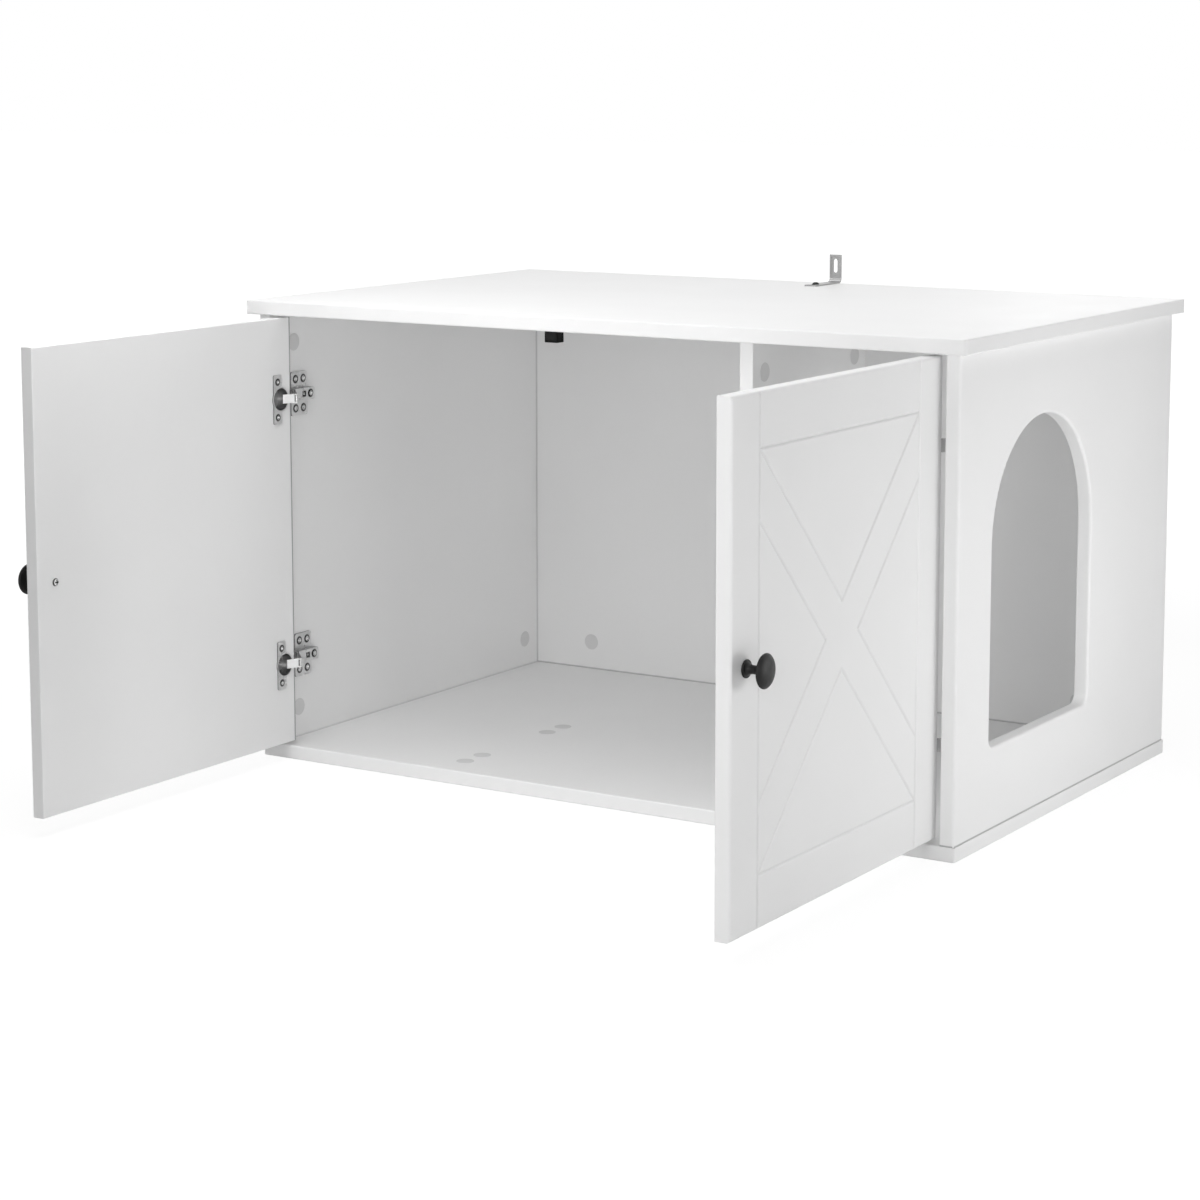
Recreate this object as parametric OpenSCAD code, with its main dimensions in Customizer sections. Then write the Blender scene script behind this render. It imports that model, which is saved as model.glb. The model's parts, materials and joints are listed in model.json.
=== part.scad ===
// Cat litter cabinet with two framed doors on concealed hinges, an arched entrance and an inner divider.
// Millimetres. Origin at the centre of the base panel's underside, +Y to the back, +Z up.
// The doors are drawn open. In a door's own axes X runs along its width from its turning axis,
// and Y from its outer face to its inner face.

/* [Cabinet] */
// Width of the top panel
top_w = 850; // [760:1:1000]
// Depth of the top panel
top_d = 550; // [500:1:640]
// Height from the floor to the top surface
overall_h = 500; // [430:1:600]
// Thickness of the top, base, side and divider boards
board_t = 15; // [15:0.5:18]
// Thickness of the back panel
back_t = 12; // [12:0.5:15]
// Distance the top panel reaches past each side panel
overhang_x = 10; // [4:1:20]
// Distance the top panel reaches past the side panels at the front and the back
overhang_y = 11; // [6:1:20]
// Distance the base panel reaches past each side panel
base_lip_x = 1.6; // [0.5:0.1:4]
// Distance the base panel reaches past the side panels at the front and the back
base_lip_y = 1; // [0.5:0.1:4]
// Radius of the top panel's corners seen from above
corner_r = 4; // [2:0.5:10]
// Radius of the eased edges of the top and base panels
edge_r = 1.5; // [0.5:0.1:3]
// Radius of the outer front edge of each side panel
side_edge_r = 3; // [1:0.5:5]

/* [Doors] */
// Thickness of the doors
door_t = 15; // [15:0.5:18]
// Gap between a closed door and its side panel
door_gap = 2; // [1.5:0.1:3]
// Gap between the two closed doors
meeting_gap = 2; // [1.5:0.1:4]
// Gap above each door
door_gap_top = 2.5; // [2:0.1:5]
// Gap below each door
door_gap_bottom = 4.5; // [2:0.1:6]
// Radius of the edges around a door's outer face
door_edge_r = 3; // [1:0.5:4]
// Radius of the edges around a door's inner face
inner_edge_r = 1; // [0.5:0.1:2]
// Angle at which the doors are drawn open
open_angle = 90; // [0:1:105]

/* [Door pattern] */
// Distance of the frame grooves from the door's edges
frame_margin = 48; // [38:1:70]
// Width of the crossed braces
brace_w = 43; // [25:1:60]
// Width of the V grooves at the surface
groove_w = 4; // [2:0.1:5]
// Depth of the V grooves
groove_depth = 1.2; // [0.6:0.1:2]

/* [Entrance] */
// Width of the arched entrance in the right side panel
arch_w = 240; // [180:1:260]
// Height of the arched entrance from its sill to its crown
arch_h = 315; // [250:1:330]
// Height of the sill above the base panel
arch_sill = 80; // [40:1:90]
// Distance of the entrance from the side panel's front edge
arch_setback = 76.5; // [60:0.5:110]
// Radius of the entrance's lower corners
arch_corner_r = 12; // [6:1:30]
// Radius of the entrance's eased edge on the outer face
arch_edge_r = 3; // [1:0.5:4]

/* [Divider] */
// Clear width of the entrance compartment on the right of the divider
vestibule_w = 215.5; // [170:0.5:260]
// Depth of the divider
divider_d = 238; // [180:1:280]
// Gap between the divider and the closed right door
divider_gap = 1.5; // [1:0.1:4]

/* [Hinges] */
// Distance of each hinge from the door's top or bottom edge
hinge_inset = 87; // [60:1:120]
// Distance of the door's turning axis from its hinge edge
pivot_edge = 5.7; // [5.4:0.1:6]
// Distance of the door's turning axis behind its outer face
pivot_depth = 1.3; // [1:0.1:1.6]
// Diameter of the hinge cup's bore in the door
cup_d = 26; // [26:0.1:26.5]
// Depth of the hinge cup's bore
cup_depth = 12; // [12:0.1:12.5]
// Distance of the cup's centre from the door's hinge edge
cup_edge = 18.5; // [18.3:0.1:18.8]
// Height of the hinge arm above the side panel
arm_h = 10.5; // [9:0.1:12]
// Width of the hinge arm
arm_w = 13; // [12:0.1:14]
// Length of the hinge arm's channel
arm_l = 39; // [38:1:44]
// Height of the hinge's mounting plate
plate_h = 48; // [44:1:52]
// Length of the hinge's mounting plate
plate_l = 28.6; // [26:0.2:32]
// Length of the link between the arm's nose pin and the cup
link_l = 15.4; // [14.5:0.1:15.6]

/* [Knobs] */
// Diameter of the knob's head
knob_d = 30.5; // [24:0.5:36]
// Height of the knob
knob_h = 24; // [22:0.5:30]
// Diameter of the knob's foot
knob_foot_d = 16; // [13:0.5:20]
// Diameter of the knob's neck
knob_neck_d = 7.6; // [7:0.1:10]
// Distance of the knob from the door's free edge
knob_edge = 25; // [17:1:30]

/* [Fittings] */
// Distance of the outer connecting bolts from the side panels' front and back edges
bolt_inset = 40; // [30:1:60]
// Distance of the rear connecting bolt from the divider's back edge
divider_bolt_inset = 23.5; // [20:0.5:40]
// Distance of the back panel's connecting bolts from the cabinet's middle
back_bolt_x = 320.5; // [240:0.5:330]
// Distance between a connecting bolt and its dowel
dowel_pitch = 32; // [24:1:40]
// Distance of each cam from the joint that its bolt pulls together
cam_reach = 33; // [30:1:36]
// Diameter of the cams' bores
cam_d = 15; // [14:0.5:16]
// Diameter of the wooden dowels
dowel_d = 8; // [6:0.5:8]
// Length of the wooden dowels
dowel_l = 30; // [25:1:34]
// Diameter of the cover discs
disc_d = 19; // [17:0.5:22]
// Thickness of the cover discs
disc_t = 0.3; // [0.2:0.1:0.6]

/* [Catch and wall bracket] */
// Width of the magnetic catch
catch_w = 15.6; // [13:0.2:20]
// Depth of the magnetic catch
catch_d = 13; // [12:0.5:18]
// Height of the magnetic catch
catch_h = 14; // [12:0.5:18]
// Distance of the catch from the cabinet's middle
catch_x = 50; // [30:1:120]
// Width of the wall bracket
bracket_w = 15; // [13:0.5:20]
// Length of the wall bracket's leg on the top panel
bracket_l = 62; // [50:1:80]
// Height of the wall bracket's leg above the top panel
bracket_h = 32.6; // [28:0.2:45]
// Thickness of the wall bracket
bracket_t = 1.5; // [1:0.1:2]
// Width of the slots in the wall bracket
slot_w = 5; // [4.6:0.1:6]
// Length of the slots in the wall bracket
slot_l = 16; // [12:0.5:20]

/* [Hidden] */
$fn = 48;

// How far a cutter reaches past the surface that it cuts
cut = 1;
// Clearance around what lies in a bore of its own body
seat_gap = 0.05;
// Radial clearance of a link on its pin
pin_gap = 0.06;

// Cabinet
side_out = top_w / 2 - overhang_x;
side_in = side_out - board_t;
front_y = overhang_y - top_d / 2;
rear_y = top_d / 2 - overhang_y;
floor_z = board_t;
ceiling_z = overall_h - board_t;
side_h = ceiling_z - floor_z;

// Doors
door_w = side_in - door_gap - meeting_gap / 2;
door_h = side_h - door_gap_top - door_gap_bottom;
door_z = floor_z + door_gap_bottom;
door_mid_z = door_z + door_h / 2;
pivot_in = door_gap + pivot_edge;
pivot_x = side_in - pivot_in;
hinge_zs = [door_z + hinge_inset, door_z + door_h - hinge_inset];

// Divider
divider_x = side_in - vestibule_w - board_t / 2;
divider_front = front_y + door_t + divider_gap;
divider_back = divider_front + divider_d;

// Entrance
arch_y = front_y + arch_setback + arch_w / 2;
arch_z = floor_z + arch_sill;
arch_spring_z = arch_z + arch_h - arch_w / 2;
arch_inner_edge_r = 1;

// Hinge cup, in the door's axes
cup_x = cup_edge - pivot_edge;
cup_wall = 0.9;
cup_floor = 0.6;
cup_r = cup_d / 2 - 0.1;
flange_t = 1.2;
flange_ring_r = cup_d / 2 + 0.4;
flange_w = 14;
flange_h = 53;
flange_x = 5.2;
cup_screw_x = 5.5;
cup_screw_z = 19;
cup_screw_l = 11;

// Hinge arm, link and plate, measured from the side panel's inner face and the door's outer plane
nose_offset = 8.2;
nose_depth = 8.4;
nose_in = door_gap + cup_edge + nose_offset;
nose_back = door_t - nose_depth;
nose_r = 1.8;
nose_w = 7.2;
strap_t = 1.6;
pin_r = 1;
arm_t = 1.3;
arm_y = door_t + 9;
arm_corner_r = 3;
arm_bend_y = arm_y + 6;
arm_slot = 6.4;
arm_slot_step = 20;
arm_slot_y = arm_y + arm_slot_step;
arm_screw_step = 31;
arm_screw_y = arm_y + arm_screw_step;
plate_t = 2;
plate_y = arm_y + 8;
plate_corner_r = 3;
tongue_w = 17;
plate_screw_pitch = 13.5;
plate_screw_span = 32;
plate_screw_l = 12;
ear_t = 1;
ear_gap = 0.15;
ear_r = 2;
ear_l = 3.3;
web_t = 1.5;
web_start = 2.4;
link_h = nose_w + 2 * (ear_gap + ear_t);
link_closed = 168;
link_turn = 80 / 90;

// Screws
hinge_screw_head_d = 7;
hinge_screw_d = 3.5;
screw_head_raise = 0.7;
dimple_gap = 0.8;
dimple_depth = 0.6;
adjust_screw_d = 3.6;
adjust_stud_d = 2.6;
adjust_head_d = 7;
adjust_head_t = 1.4;
knob_screw_d = 4;
knob_screw_head_d = 8;
knob_screw_reach = 9;
small_screw_d = 3;
small_screw_head_d = 5.6;
bracket_screw_head_d = 8;
bracket_screw_l = 12;

// Connecting fittings
cam_slack = 0.1;
cam_sink = 0.4;
bolt_d = 5;
bolt_thread_l = 11;
bolt_bore_d = 7;
bolt_neck_d = 3.2;
bolt_head_l = 3.5;
channel_w = bolt_d + 0.6;
dowel_top_l = 10;
dowel_end_gap = 0.5;

// Each standing board: a point on its cam face, the direction along its width, the direction into its
// thickness, its thickness, its cams' bore depth, the places of its bolts and of its dowels along its width
side_bolts = [for (m = [-1, 1]) m * (rear_y - bolt_inset)];
side_dowels = [for (m = [-1, 1]) m * (rear_y - bolt_inset - dowel_pitch)];
divider_bolts = [front_y + bolt_inset, divider_back - divider_bolt_inset];
divider_dowels = [divider_bolts[0] + dowel_pitch, divider_bolts[1] - dowel_pitch];
back_bolts = [for (m = [-1, 1]) m * back_bolt_x];
back_dowels = [for (m = [-1, 1]) m * (back_bolt_x - dowel_pitch)];
LEFT = [[-side_in, 0], [0, 1], [-1, 0], board_t, board_t - 3, side_bolts, side_dowels];
RIGHT = [[side_in, 0], [0, -1], [1, 0], board_t, board_t - 3, side_bolts, side_dowels];
DIVIDER = [[divider_x + board_t / 2, 0], [0, 1], [-1, 0], board_t, board_t - 3, divider_bolts, divider_dowels];
BACK = [[0, rear_y - back_t], [1, 0], [0, 1], back_t, back_t - 2, back_bolts, back_dowels];
SPARE = [[board_t / 2 - divider_x, 0], [0, 1], [-1, 0], board_t, board_t - 3, divider_bolts, divider_dowels];

// Catch and wall bracket
magnet_w = catch_w - 4;
magnet_t = 3;
magnet_h = catch_h - 5;
slot_edge = 4.8;
bracket_bend_r = 4.5;
press_edge = 2.2;
press_depth = 0.4;

// Colours
white = [0.95, 0.95, 0.94];
inner_white = [0.93, 0.93, 0.92];
disc_grey = [0.8, 0.8, 0.79];
zinc = [0.72, 0.72, 0.7];
nickel = [0.78, 0.78, 0.77];
beech = [0.8, 0.66, 0.46];
black = [0.06, 0.06, 0.06];
magnet_grey = [0.16, 0.16, 0.17];

// A rectangle with its own radius at each corner: low left, low right, high right, high left
module rounded_rect(w, h, r) {
    corners = [[0, 0], [w, 0], [w, h], [0, h]];
    inward = [[1, 1], [-1, 1], [-1, -1], [1, -1]];
    difference() {
        square([w, h]);
        for (i = [0 : 3]) {
            translate(corners[i]) scale_corner(inward[i]) difference() {
                translate([-cut, -cut]) square(r[i] + cut);
                translate([r[i], r[i]]) circle(r[i]);
            }
        }
    }
}

// Turns a corner cutter so that it points into the rectangle
module scale_corner(inward) {
    mirror([inward.x < 0 ? 1 : 0, 0]) mirror([0, inward.y < 0 ? 1 : 0]) children();
}

// Draws a 2D shape in the YZ plane and extrudes it along X
module along_x(l) {
    rotate([90, 0, 90]) linear_extrude(l) children();
}

// Draws a 2D shape in the XZ plane and extrudes it along Y
module along_y(l) {
    translate([0, l, 0]) rotate([90, 0, 0]) linear_extrude(l) children();
}

// A flat panel whose four upright corners and eight long edges are rounded
module eased_panel(w, d, t, corner, edge) {
    edges = [edge, edge, edge, edge];
    intersection() {
        translate([-w / 2, -d / 2, -cut]) {
            linear_extrude(t + 2 * cut) rounded_rect(w, d, [corner, corner, corner, corner]);
        }
        translate([-w / 2 - cut, -d / 2, 0]) along_x(w + 2 * cut) rounded_rect(d, t, edges);
        translate([-w / 2, -d / 2 - cut, 0]) along_y(d + 2 * cut) rounded_rect(w, t, edges);
    }
}

// Joins of the standing boards with the base and top panels
// A standing board's own axes: X along its width, Y into its thickness from its cam face, Z up
module on_board(b) {
    multmatrix([
        [b[1].x, b[2].x, 0, b[0].x],
        [b[1].y, b[2].y, 0, b[0].y],
        [0, 0, 1, 0],
        [0, 0, 0, 1]
    ]) children();
}

// Its lower joint, with Z = 0 on the base panel
module lower_joint(b) {
    on_board(b) translate([0, 0, floor_z]) children();
}

// Its upper joint, upside down, with Z = 0 on the top panel
module upper_joint(b) {
    on_board(b) translate([0, 0, ceiling_z]) mirror([0, 0, 1]) children();
}

module both_joints(b) {
    lower_joint(b) children();
    upper_joint(b) children();
}

// The cuts at a joint in the standing board itself
module board_bores(b) {
    for (x = b[5]) {
        translate([x, -cut, cam_reach]) rotate([-90, 0, 0]) cylinder(d = cam_d, h = b[4] + cut);
        translate([x, b[3] / 2, -cut]) cylinder(d = bolt_bore_d, h = cam_reach + cut);
    }
    for (x = b[6]) {
        translate([x, b[3] / 2, -cut]) {
            cylinder(d = dowel_d, h = dowel_l - dowel_top_l + dowel_end_gap + cut);
        }
    }
}

// The cuts at a joint in the base or top panel
module panel_bores(b) {
    for (x = b[5]) {
        translate([x, b[3] / 2, -bolt_thread_l - dowel_end_gap]) {
            cylinder(d = bolt_d, h = bolt_thread_l + dowel_end_gap + cut);
        }
    }
    for (x = b[6]) {
        translate([x, b[3] / 2, -dowel_top_l - dowel_end_gap]) {
            cylinder(d = dowel_d, h = dowel_top_l + dowel_end_gap + cut);
        }
    }
}

// A cam lock: a slotted drum with a channel for the bolt's head
module cam(b) {
    difference() {
        translate([0, 0, cam_sink]) cylinder(d = cam_d - 2 * cam_slack, h = b[4] - cam_sink - cam_slack);
        cross_recess(cam_d * 0.5, 1.6, cam_sink, 1.2);
        translate([-channel_w / 2, -channel_w / 2, b[3] / 2 - channel_w / 2]) {
            cube([channel_w, cam_d + channel_w, channel_w]);
        }
    }
}

// A cross recess cut from the height top, downwards into the piece along +Z
module cross_recess(l, w, top, depth) {
    for (a = [0, 90]) {
        rotate([0, 0, a]) translate([-l / 2, -w / 2, top - cut]) cube([l, w, depth + cut]);
    }
}

// A connecting bolt: its thread in the panel, its shank and head in the standing board
module bolt() {
    head_z = cam_reach + 1.5;
    neck_z = cam_reach - cam_d / 2 - 1;
    rotate_extrude() polygon([
        [0, -bolt_thread_l], [bolt_d / 2 - 1, -bolt_thread_l], [bolt_d / 2 - seat_gap, 1 - bolt_thread_l],
        [bolt_d / 2 - seat_gap, 0.5], [bolt_bore_d / 2 - cam_slack, 0.5], [bolt_bore_d / 2 - cam_slack, 3],
        [bolt_d / 2, 3.8], [bolt_d / 2, neck_z - 1], [bolt_neck_d / 2, neck_z],
        [bolt_neck_d / 2, head_z - bolt_head_l], [bolt_d / 2, head_z - bolt_head_l + 0.8],
        [bolt_d / 2, head_z - 0.8], [bolt_neck_d / 2, head_z], [0, head_z]
    ]);
}

// A fluted dowel is drawn plain, with chamfered ends
module dowel() {
    r = dowel_d / 2 - seat_gap;
    rotate_extrude() polygon([
        [0, -dowel_top_l], [r - 1, -dowel_top_l], [r, 1 - dowel_top_l],
        [r, dowel_l - dowel_top_l - 1], [r - 1, dowel_l - dowel_top_l], [0, dowel_l - dowel_top_l]
    ]);
}

module cams(b) {
    color(zinc) both_joints(b) for (x = b[5]) translate([x, 0, cam_reach]) rotate([-90, 0, 0]) cam(b);
}

module bolts(b) {
    color(zinc) both_joints(b) for (x = b[5]) translate([x, b[3] / 2, 0]) bolt();
}

module dowels(b) {
    color(beech) both_joints(b) for (x = b[6]) translate([x, b[3] / 2, 0]) dowel();
}

module cover_discs(b) {
    color(disc_grey) both_joints(b) for (x = b[5]) {
        translate([x, 0, cam_reach]) rotate([90, 0, 0]) cylinder(d = disc_d, h = disc_t);
    }
}

// The discs over the spare holes for the divider's place on the left
module spare_discs() {
    color(disc_grey) for (x = concat(SPARE[5], SPARE[6])) {
        translate([x, board_t / 2, 0]) cylinder(d = disc_d, h = disc_t);
    }
}

module base_cover_discs() {
    lower_joint(SPARE) spare_discs();
}

module top_cover_discs() {
    upper_joint(SPARE) spare_discs();
}

// Panels
module top_panel() {
    color(white) difference() {
        translate([0, 0, ceiling_z]) eased_panel(top_w, top_d, board_t, corner_r, edge_r);
        for (b = [LEFT, RIGHT, DIVIDER, BACK, SPARE]) upper_joint(b) panel_bores(b);
        at_catch_screw() cylinder(d = small_screw_d, h = 8);
        at_bracket_screw() translate([0, 0, -bracket_screw_l]) {
            cylinder(d = small_screw_d + 2 * seat_gap, h = bracket_screw_l + cut);
        }
    }
}

module base_panel() {
    w = 2 * (side_out + base_lip_x);
    d = 2 * (rear_y + base_lip_y);
    color(white) difference() {
        eased_panel(w, d, board_t, edge_r, edge_r);
        for (b = [LEFT, RIGHT, DIVIDER, BACK, SPARE]) lower_joint(b) panel_bores(b);
    }
}

// A side panel as it stands on the left
module side_blank() {
    difference() {
        translate([-side_out, front_y, floor_z]) {
            linear_extrude(side_h) rounded_rect(board_t, rear_y - front_y, [side_edge_r, 1, 0.5, 1]);
        }
        both_joints(LEFT) board_bores(LEFT);
        for (z = hinge_zs) at_plate(z) plate_screw_places() {
            rotate([0, -90, 0]) cylinder(d = hinge_screw_d + 2 * seat_gap, h = plate_screw_l + cut);
        }
    }
}

module left_side_panel() {
    color(white) side_blank();
}

module right_side_panel() {
    color(white) difference() {
        mirror([1, 0, 0]) side_blank();
        entrance();
    }
}

// The arched entrance as a cutter through the right side panel
module entrance() {
    r = arch_corner_r;
    translate([side_in - cut, 0, 0]) along_x(board_t + 2 * cut) {
        translate([arch_y - arch_w / 2, arch_z]) {
            rounded_rect(arch_w, arch_spring_z - arch_z, [r, r, 0, 0]);
        }
        translate([arch_y, arch_spring_z]) intersection() {
            circle(arch_w / 2, $fn = 96);
            translate([-arch_w, -cut]) square([2 * arch_w, arch_w]);
        }
    }
    translate([side_out, 0, 0]) rotate([90, 0, 90]) entrance_easing(arch_edge_r);
    translate([side_in, 0, 0]) rotate([90, 0, 90]) mirror([0, 0, 1]) entrance_easing(arch_inner_edge_r);
}

// What rounds an edge by the radius r: X away from the opening, Y out of the face
module easing_section(r) {
    difference() {
        translate([-cut, -r]) square(r + cut);
        translate([r, -r]) circle(r);
    }
}

// The easing along the entrance's edge on one face, with X back, Y up and Z out of the face
module entrance_easing(r) {
    side_l = arch_spring_z - arch_z - arch_corner_r;
    translate([arch_y, arch_spring_z, 0]) easing_turn(arch_w / 2, r, 0, 180);
    for (m = [0, 1]) translate([arch_y, arch_z, 0]) mirror([m, 0, 0]) {
        translate([arch_w / 2, arch_corner_r, 0]) rotate([0, 0, 90]) easing_run(side_l, r);
        translate([arch_w / 2 - arch_corner_r, arch_corner_r, 0]) easing_turn(arch_corner_r, r, -90, 90);
        easing_run(arch_w / 2 - arch_corner_r, r);
    }
}

// Easing along a straight edge, with the opening on its +Y side
module easing_run(l, r) {
    along_x(l) mirror([1, 0]) easing_section(r);
}

// Easing along an arc of the radius arc_r, with the opening inside it
module easing_turn(arc_r, r, from, angle) {
    rotate([0, 0, from]) rotate_extrude(angle = angle, $fn = 96) translate([arc_r, 0]) easing_section(r);
}

module back_panel() {
    color(inner_white) difference() {
        translate([-side_in, rear_y - back_t, floor_z]) cube([2 * side_in, back_t, side_h]);
        both_joints(BACK) board_bores(BACK);
    }
}

module divider_panel() {
    color(white) difference() {
        translate([divider_x - board_t / 2, divider_front, floor_z]) {
            linear_extrude(side_h) rounded_rect(board_t, divider_d, [1, 1, 1, 1]);
        }
        both_joints(DIVIDER) board_bores(DIVIDER);
    }
}

// Doors
// Draws a piece of the left hand as it is, or mirrored for the right hand
module hand(side) {
    mirror([side == "right" ? 1 : 0, 0, 0]) children();
}

// The left door's own axes, turned to the angle at which it is drawn
module on_door() {
    translate([-pivot_x, front_y + pivot_depth, 0]) rotate([0, 0, -open_angle]) {
        translate([0, -pivot_depth, 0]) children();
    }
}

// A V groove on the door's outer face between two points given along its width and height
module groove(from, to) {
    run = to - from;
    half = groove_w / 2 * (1 + cut / groove_depth);
    translate([from.x, 0, from.y]) rotate([0, -atan2(run.y, run.x), 0]) {
        along_x(norm(run)) polygon([[-cut, -half], [-cut, half], [groove_depth, 0]]);
    }
}

// The frame grooves and the outlines of the four triangles between the crossed braces
module door_grooves() {
    half_w = door_w / 2 - frame_margin;
    half_h = door_h / 2 - frame_margin;
    mid_x = door_w / 2 - pivot_edge;
    slope = acos(brace_w / 2 / norm([half_w, half_h])) - atan2(half_w, half_h);
    tip_z = brace_w / 2 / cos(slope);
    tip_x = brace_w / 2 / sin(slope);
    side_z = (half_w - tip_x) * tan(slope);
    for (m = [-1, 1]) {
        groove([mid_x + m * half_w, door_z - cut], [mid_x + m * half_w, door_z + door_h + cut]);
        groove([mid_x - half_w, door_mid_z + m * half_h], [mid_x + half_w, door_mid_z + m * half_h]);
        for (n = [-1, 1]) {
            groove([mid_x, door_mid_z + n * tip_z], [mid_x + m * half_w, door_mid_z + n * half_h]);
            groove([mid_x + m * tip_x, door_mid_z], [mid_x + m * half_w, door_mid_z + n * side_z]);
        }
    }
}

module door_panel() {
    outer = door_edge_r;
    inner = inner_edge_r;
    difference() {
        intersection() {
            translate([-pivot_edge, 0, door_z - cut]) {
                linear_extrude(door_h + 2 * cut) rounded_rect(door_w, door_t, [outer, outer, inner, inner]);
            }
            translate([-pivot_edge - cut, 0, door_z]) {
                along_x(door_w + 2 * cut) rounded_rect(door_t, door_h, [outer, inner, inner, outer]);
            }
        }
        door_grooves();
        for (z = hinge_zs) at_cup(z) {
            translate([0, 0, -cup_depth]) cylinder(d = cup_d, h = cup_depth + cut);
            cup_screw_places() translate([0, 0, -cup_screw_l]) {
                cylinder(d = small_screw_d + 2 * seat_gap, h = cup_screw_l + cut);
            }
        }
        at_knob() translate([0, 0, -door_t - cut]) cylinder(d = knob_screw_d + 0.4, h = door_t + 2 * cut);
    }
}

module door(side) {
    color(white) hand(side) on_door() door_panel();
}

// Knobs
// The knob's place on the door's outer face, with Z out of the door
module at_knob() {
    translate([door_w - knob_edge - pivot_edge, 0, door_mid_z]) rotate([90, 0, 0]) children();
}

// Points along a quarter or more of an ellipse
function ellipse_arc(centre, a, b, from, to, steps) =
    [for (i = [0 : steps]) let (t = from + (to - from) * i / steps) centre + [a * cos(t), b * sin(t)]];

// The knob's outline: foot, neck, flare, rim and domed face
module knob_outline() {
    foot_r = knob_foot_d / 2;
    neck_r = knob_neck_d / 2;
    head_r = knob_d / 2;
    foot_h = 2.2;
    rim_z = knob_h * 0.79;
    flare_z = knob_h * 0.4;
    fillet_z = flare_z * 0.8;
    polygon(concat(
        [[0, 0], [foot_r - 0.4, 0], [foot_r, 0.4]],
        ellipse_arc([foot_r - 1, foot_h - 1], 1, 1, 0, 90, 4),
        ellipse_arc([foot_r - 1, fillet_z], foot_r - 1 - neck_r, fillet_z - foot_h, -90, -180, 6),
        ellipse_arc([head_r - 2, flare_z], head_r - 2 - neck_r, rim_z - 1.6 - flare_z, 180, 90, 8),
        ellipse_arc([head_r - 1.6, rim_z], 1.6, 1.6, -80, 20, 5),
        ellipse_arc([0, rim_z], head_r - 0.25, knob_h - rim_z, 10, 90, 9)
    ));
}

module knob(side) {
    color(black) hand(side) on_door() at_knob() difference() {
        rotate_extrude($fn = 64) knob_outline();
        translate([0, 0, -cut]) cylinder(d = knob_screw_d + 2 * seat_gap, h = knob_screw_reach + cut + 0.5);
    }
}

module knob_screw(side) {
    head_h = 2.4;
    r = knob_screw_head_d / 2;
    color(nickel) hand(side) on_door() at_knob() translate([0, 0, -door_t]) difference() {
        union() {
            rotate_extrude() polygon(concat(
                [[0, 0]], ellipse_arc([0, 0], r, -head_h, 0, 90, 5)
            ));
            cylinder(d = knob_screw_d, h = door_t + knob_screw_reach);
        }
        cross_recess(4.4, 1, -head_h, 1.5);
    }
}

// Hinges
// The cup's place on the door's inner face, with Z out of that face and X away from the hinge edge
module at_cup(z) {
    translate([cup_x, door_t, z]) rotate([-90, 0, 0]) children();
}

module cup_screw_places() {
    for (m = [-1, 1]) translate([cup_screw_x, m * cup_screw_z, 0]) children();
}

module cup_shell() {
    difference() {
        union() {
            translate([0, 0, -cup_depth]) cylinder(r = cup_r, h = cup_depth + flange_t, $fn = 64);
            cylinder(r = flange_ring_r, h = flange_t, $fn = 64);
            translate([flange_x - flange_w / 2, -flange_h / 2, 0]) {
                linear_extrude(flange_t) rounded_rect(flange_w, flange_h, [2, 2, 2, 2]);
            }
        }
        translate([0, 0, cup_floor - cup_depth]) {
            cylinder(r = cup_r - cup_wall, h = cup_depth + 2 * cut, $fn = 64);
        }
        cup_screw_places() screw_hole(small_screw_d, small_screw_head_d, flange_t);
    }
}

// A hole with a countersink in a dimple, through a sheet whose top is at the height t
module screw_hole(d, head_d, t) {
    translate([0, 0, -cut]) cylinder(d = d + 0.4, h = t + 2 * cut);
    translate([0, 0, t - 0.9]) cylinder(d1 = d + 0.4, d2 = head_d + 0.6, h = 0.9);
    dimple(head_d, t);
}

// The round dimple around a screw head, in a sheet whose top is at the height t
module dimple(head_d, t) {
    translate([0, 0, t - dimple_depth]) cylinder(d = head_d + 2 * dimple_gap, h = dimple_depth + cut);
}

module hinge_cup(side, z) {
    color(nickel) hand(side) on_door() at_cup(z) cup_shell();
}

// A countersunk screw pointing down, with the rim of its head at Z = 0
module countersunk_screw(d, head_d, l) {
    difference() {
        rotate_extrude() polygon([
            [0, screw_head_raise], [head_d / 2 - 1.4, screw_head_raise], [head_d / 2 - 0.4, 0.35],
            [head_d / 2, 0], [head_d / 2, -0.1], [d / 2, -0.9], [d / 2, 1.5 - l], [0.2, -l], [0, -l]
        ]);
        mirror([0, 0, 1]) cross_recess(head_d * 0.55, 0.9, -screw_head_raise, 1.2);
    }
}

module cup_screws(side) {
    color(nickel) hand(side) on_door() for (z = hinge_zs) at_cup(z) cup_screw_places() {
        translate([0, 0, flange_t]) countersunk_screw(small_screw_d, small_screw_head_d, cup_screw_l);
    }
}

// The plate's place on the left side panel's inner face, with Y back from the door's outer plane
module at_plate(z) {
    translate([-side_in, front_y, z]) children();
}

module plate_screw_places() {
    first = plate_y + (plate_l - plate_screw_pitch) / 2;
    for (y = [first, first + plate_screw_pitch]) {
        for (m = [-1, 1]) translate([0, y, m * plate_screw_span / 2]) children();
    }
}

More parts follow.
